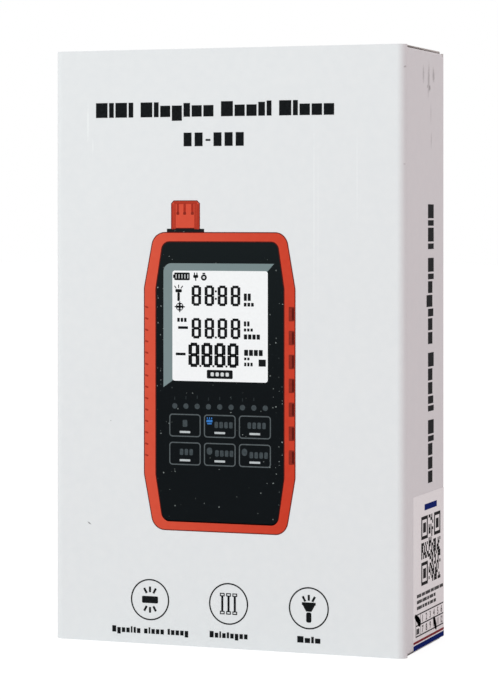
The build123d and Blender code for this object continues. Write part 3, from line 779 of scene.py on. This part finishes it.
dim_ink = ink_finish("dim_key_sign_ink", *DIM_GREY)
lamp_middle = (keys_low.x + keys_high.x) / 2 / MM
lamp_places = [(lamp_middle + LAMP_PITCH * (place - (LAMPS - 1) / 2), LAMP_RISE) for place in range(LAMPS)]
dim_parts = [marks(lamp_places, (LAMP_SIZE, LAMP_SIZE), ROUND * LAMP_SIZE, dim_ink)]
for (x, z), ((shift, lift), count, wide, tall) in zip(key_middles, KEY_SIGNS):
    signs = [(x + shift + place * KEY_SIGN_PITCH, z + lift) for place in range(count)]
    dim_parts.append(marks(signs, (wide, tall), KEY_SIGN_CORNER, dim_ink))
round_places = [(key_middles[key][0] + ROUND_SIGN_SHIFT[0], key_middles[key][1] + ROUND_SIGN_SHIFT[1])
                for key in ROUND_SIGN_KEYS]
dim_parts.append(marks(round_places, ROUND_SIGN, ROUND_SIGN_CORNER, dim_ink))
printed_piece("key_signs_and_lamps", dim_parts, dim_ink, picture_sheet)

faint_ink = ink_finish("faint_tick_ink", *FAINT_GREY)
tick_places = [(x, z + TICK_RISE + TICK_STEP * (place % TICK_STEPS))
               for place, (x, z) in enumerate(lamp_places[:-1])]
printed_piece("lamp_ticks", [marks(tick_places, TICK, TICK_CORNER, faint_ink)], faint_ink, picture_sheet)

blue_sign_ink = ink_finish("blue_sign_ink", *SIGN_BLUE)
blue_x = key_middles[BLUE_SIGN_KEY][0] + BLUE_SIGN_SHIFT[0]
blue_z = key_middles[BLUE_SIGN_KEY][1] + BLUE_SIGN_SHIFT[1]
blue_parts = [marks([(blue_x + aside, blue_z + above)], size, corner, blue_sign_ink)
              for (aside, above), size, corner in BLUE_MARKS]
printed_piece("blue_key_sign", blue_parts, blue_sign_ink, picture_sheet)


# Label: white self-adhesive paper, die-cut, stuck on the side and turned round the rear fold. It is
# printed with a matrix code, a plain blue bar, a dark red stripe and a dark blue band.
LABEL_WHITE = ("#FAFCFD", "#F3F5F7")
LABEL_RED = ("#7A1620", "#95303A")
LABEL_BLUE = ("#19286F", "#233378")
LABEL_BLACK = ("#0A0B0D", "#17181B")
# Paper has a soft sheen, and the blue is a dead matt print with none
PAPER_SPECULAR = 0.2
BLUE_ROUGHNESS = 0.7
BLUE_SPECULAR = 0.0
label_paper = ink_finish("label_paper", *LABEL_WHITE, INK_ROUGHNESS, PAPER_SPECULAR)
blue_ink = ink_finish("label_blue_ink", *LABEL_BLUE, BLUE_ROUGHNESS, BLUE_SPECULAR)
code_ink = ink_finish("label_black_ink", *LABEL_BLACK)
finish_node("label", label_paper)
finish_node("label_red_stripe", ink_finish("label_red_ink", *LABEL_RED))
finish_node("label_blue_band", blue_ink)
finish_node("label_head_bar", blue_ink)
finish_node("label_code", code_ink)


# Small type and the grid of months on the label: three lines of tiny marks, thin rules, the numbers
# of the months, and two months blotted out with a felt marker.
code_low, code_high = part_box("label_code")
lines_low, lines_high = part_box("label_lines")
grid_left = lines_low.y / MM
grid_right = lines_high.y / MM
grid_foot = lines_low.z / MM
RULE = 0.36
THIN_RULE = 0.6 * RULE
RULE_CORNER = 0.01
MONTH_ROWS = 2
MONTH_COLUMNS = 6
MONTH_ROW = 3.2
MONTH_FIRST = 5.2
HEAD_CELL_MARKS = (-1.3, -0.3, 0.7)
HEAD_CELL_MARK = (0.8, 1.7)
HEAD_CELL_CORNER = 0.2
# Each line of small type: its middle's height, where it starts from the grid's left end, its length
SMALL_LINES = ((16.6, 1.6, 27.7), (14.85, 1.6, 19.3), (13.1, 1.6, 20.0))
SMALL_MARK = (0.5, 1.0)
SMALL_CORNER = 0.1
SMALL_PITCH = 0.66
SMALL_GAP = 0.5
SMALL_RUN = (3, 8)
SMALL_SEED = 5
NUMBER_SIZE = 2.9
NUMBER_WEIGHT = 0.05
NUMBER_CURVE_STEPS = 3
# Numbers of one figure are set wider than the type is cut, and those of two figures narrower
ONE_FIGURE_WIDTH = 1.1
TWO_FIGURE_WIDTH = 0.8
NUMBER_GREY = ("#3F3A38", "#6B6663")
MARKER_BLACK = ("#08080A", "#131316")
# Marker blots: the middle from the grid's left end and foot, the size, the turn, all in mm or degrees
BLOTS = (
    ((0.6, 6.0), (3.4, 1.1), -14),
    ((1.6, 5.6), (5.2, 1.5), -20),
    ((2.2, 5.1), (6.0, 1.7), -24),
    ((2.8, 4.6), (5.2, 1.7), -27),
    ((3.1, 4.1), (3.8, 1.5), -30),
    ((3.2, 3.6), (2.2, 1.1), -28),
    ((19.5, 2.7), (1.8, 2.2), 30),
    ((20.1, 2.0), (2.1, 3.2), 32),
    ((20.7, 1.2), (2.1, 3.4), 34),
    ((21.4, 0.4), (1.4, 2.2), 36),
)
label_film = code_high.x - code_low.x
type_film = UNDER_FILM * label_film
# Across and up on a flat mesh become Y and Z on the label, with the ink's film standing out to +X
side_turn = Matrix(((0, 0, 1, 0), (1, 0, 0, 0), (0, 1, 0, 0), (0, 0, 0, 1)))
label_sheet = Matrix.Translation((code_low.x, 0, 0)) @ side_turn

chance = random.Random(SMALL_SEED)
small_places = []
for height, inset, length in SMALL_LINES:
    across = grid_left + inset
    end = across + length
    while across < end:
        for _ in range(chance.randint(*SMALL_RUN)):
            if across < end:
                small_places.append((across, height))
            across += SMALL_PITCH
        across += SMALL_GAP
grid_wide = grid_right - grid_left
grid_middle = (grid_left + grid_right) / 2
column = (grid_wide - MONTH_FIRST) / MONTH_COLUMNS
rule_z = [grid_foot + RULE / 2 + step * MONTH_ROW for step in range(MONTH_ROWS + 1)]
rules_tall = MONTH_ROWS * MONTH_ROW
head_middle = grid_left + MONTH_FIRST / 2
head_cell = [(head_middle + across, grid_foot + MONTH_ROW / 2) for across in HEAD_CELL_MARKS]
first_rule = (grid_left + MONTH_FIRST, rule_z[1])
type_parts = [
    marks(small_places, SMALL_MARK, SMALL_CORNER, code_ink, type_film),
    marks([(grid_middle, height) for height in rule_z], (grid_wide, RULE), RULE_CORNER, code_ink, type_film),
    marks([(grid_left + RULE / 2, rule_z[1])], (RULE, rules_tall), RULE_CORNER, code_ink, type_film),
    marks([first_rule], (THIN_RULE, rules_tall), RULE_CORNER, code_ink, type_film),
    marks(head_cell, HEAD_CELL_MARK, HEAD_CELL_CORNER, code_ink, type_film),
]
type_piece = printed_piece("label_small_type_and_grid", type_parts, code_ink, label_sheet)
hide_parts("label_lines")

number_ink = ink_finish("month_number_ink", *NUMBER_GREY)
number_parts = []
for row in range(MONTH_ROWS):
    for place in range(MONTH_COLUMNS):
        number = row * MONTH_COLUMNS + place + 1
        text = bpy.data.curves.new("number", "FONT")
        text.body = str(number)
        text.size = NUMBER_SIZE * MM
        text.align_x = "CENTER"
        text.align_y = "CENTER"
        text.extrude = type_film / 2
        text.offset = NUMBER_WEIGHT * MM
        text.resolution_u = NUMBER_CURVE_STEPS
        holder = bpy.data.objects.new("number", text)
        bpy.context.scene.collection.objects.link(holder)
        evaluated = holder.evaluated_get(bpy.context.evaluated_depsgraph_get())
        mesh = bpy.data.meshes.new_from_object(evaluated)
        bpy.data.objects.remove(holder)
        width = TWO_FIGURE_WIDTH if number > 9 else ONE_FIGURE_WIDTH
        across = grid_left + MONTH_FIRST + (place + 0.5) * column
        height = grid_foot + (MONTH_ROWS - 0.5 - row) * MONTH_ROW
        in_cell = Matrix.Translation((across * MM, height * MM, type_film / 2))
        mesh.transform(in_cell @ Matrix.Diagonal((width, 1, 1, 1)))
        number_parts.append(mesh)
printed_piece("month_numbers", number_parts, number_ink, label_sheet)

marker_ink = ink_finish("felt_marker_ink", *MARKER_BLACK)
blot_parts = []
for (across, up), size, turn in BLOTS:
    place = (grid_left + across, grid_foot + up)
    blot_parts.append(marks([place], size, ROUND * min(size), marker_ink, label_film, turn))
printed_piece("marker_blots", blot_parts, marker_ink, label_sheet)


# Floor: a plain pale sheet of paper that the carton stands on. The camera sees it near white, and it
# keeps the carton's soft shadow.
FLOOR_SIZE = 12.0
FLOOR_COLOUR = "#F4F4F4"
WHITE = (1, 1, 1, 1)
WHITE_SHARE = 0.82
WHITE_STRENGTH = 1.13
floor_mesh = bpy.data.meshes.new("floor")
edge = FLOOR_SIZE / 2
floor_mesh.from_pydata([(-edge, -edge, 0), (edge, -edge, 0), (edge, edge, 0), (-edge, edge, 0)], [],
                       [(0, 1, 2, 3)])
floor = bpy.data.objects.new("floor", floor_mesh)
bpy.context.scene.collection.objects.link(floor)
floor_paper = bpy.data.materials.new("white_paper_sweep")
floor_paper.use_nodes = True
tree = floor_paper.node_tree
tree.nodes.clear()
paper = add(tree, "ShaderNodeBsdfDiffuse", [("Color", linear(FLOOR_COLOUR))])
white = add(tree, "ShaderNodeEmission", [("Color", WHITE), ("Strength", WHITE_STRENGTH)])
rays = add(tree, "ShaderNodeLightPath")
share = add(tree, "ShaderNodeMath", [(0, rays.outputs["Is Camera Ray"]), (1, WHITE_SHARE)],
            operation="MULTIPLY")
both = add(tree, "ShaderNodeMixShader", [(0, share.outputs[0]), (1, paper.outputs[0]), (2, white.outputs[0])])
add(tree, "ShaderNodeOutputMaterial", [("Surface", both.outputs[0])])
floor_mesh.materials.append(floor_paper)


# Light: a pale room, and one large soft lamp from the left in front, as the photograph's tones show.
# The camera, gloss and glass see the room as plain white.
ROOM_COLOUR = "#FBEBEC"
ROOM_STRENGTH = 0.69
LAMP_PLACE = Vector((-1.0, -1.8, 1.2))
LAMP_WIDE = 1.4
LAMP_POWER = 25.0
LAMP_COLOUR = "#E6FFFB"
world = bpy.data.worlds.new("pale_room")
bpy.context.scene.world = world
world.use_nodes = True
tree = world.node_tree
tree.nodes.clear()
rays = add(tree, "ShaderNodeLightPath")
seen = add(tree, "ShaderNodeMath",
           [(0, rays.outputs["Is Camera Ray"]), (1, rays.outputs["Is Glossy Ray"])], operation="MAXIMUM")
seen = add(tree, "ShaderNodeMath", [(0, seen.outputs[0]), (1, rays.outputs["Is Transmission Ray"])],
           operation="MAXIMUM")
room = add(tree, "ShaderNodeBackground", [("Color", linear(ROOM_COLOUR)), ("Strength", ROOM_STRENGTH)])
white = add(tree, "ShaderNodeBackground", [("Color", WHITE), ("Strength", 1.0)])
both = add(tree, "ShaderNodeMixShader", [(0, seen.outputs[0]), (1, room.outputs[0]), (2, white.outputs[0])])
add(tree, "ShaderNodeOutputWorld", [("Surface", both.outputs[0])])

lamp = bpy.data.lights.new("soft_lamp", "AREA")
lamp.energy = LAMP_POWER
lamp.size = LAMP_WIDE
lamp.color = linear(LAMP_COLOUR)[:3]
lamp_object = bpy.data.objects.new("soft_lamp", lamp)
bpy.context.scene.collection.objects.link(lamp_object)
lamp_object.location = LAMP_PLACE
aim = Vector((0, 0, carton_height / 2)) - LAMP_PLACE
lamp_object.rotation_euler = aim.to_track_quat("-Z", "Y").to_euler()


# Camera: where the photograph was taken from, held level and turned to the carton, with the frame
# shifted down to take in the whole of it.
CAMERA_PLACE = (0.2761, -0.7533, 0.1292)
CAMERA_TURN = math.radians(20.16)
FOCAL_PIXELS = 2610
PICTURE_HEIGHT = 700
HORIZON_PIXELS = 217.3
SENSOR = 36.0
NEAREST = 0.01
camera = bpy.data.cameras.new("camera")
camera.sensor_width = SENSOR
camera.lens = FOCAL_PIXELS * SENSOR / PICTURE_HEIGHT
camera.shift_y = (HORIZON_PIXELS - PICTURE_HEIGHT / 2) / PICTURE_HEIGHT
camera.clip_start = NEAREST
camera_object = bpy.data.objects.new("camera", camera)
bpy.context.scene.collection.objects.link(camera_object)
camera_object.location = CAMERA_PLACE
camera_object.rotation_euler = (math.pi / 2, 0, CAMERA_TURN)
bpy.context.scene.camera = camera_object
bpy.context.scene.view_settings.view_transform = "Standard"
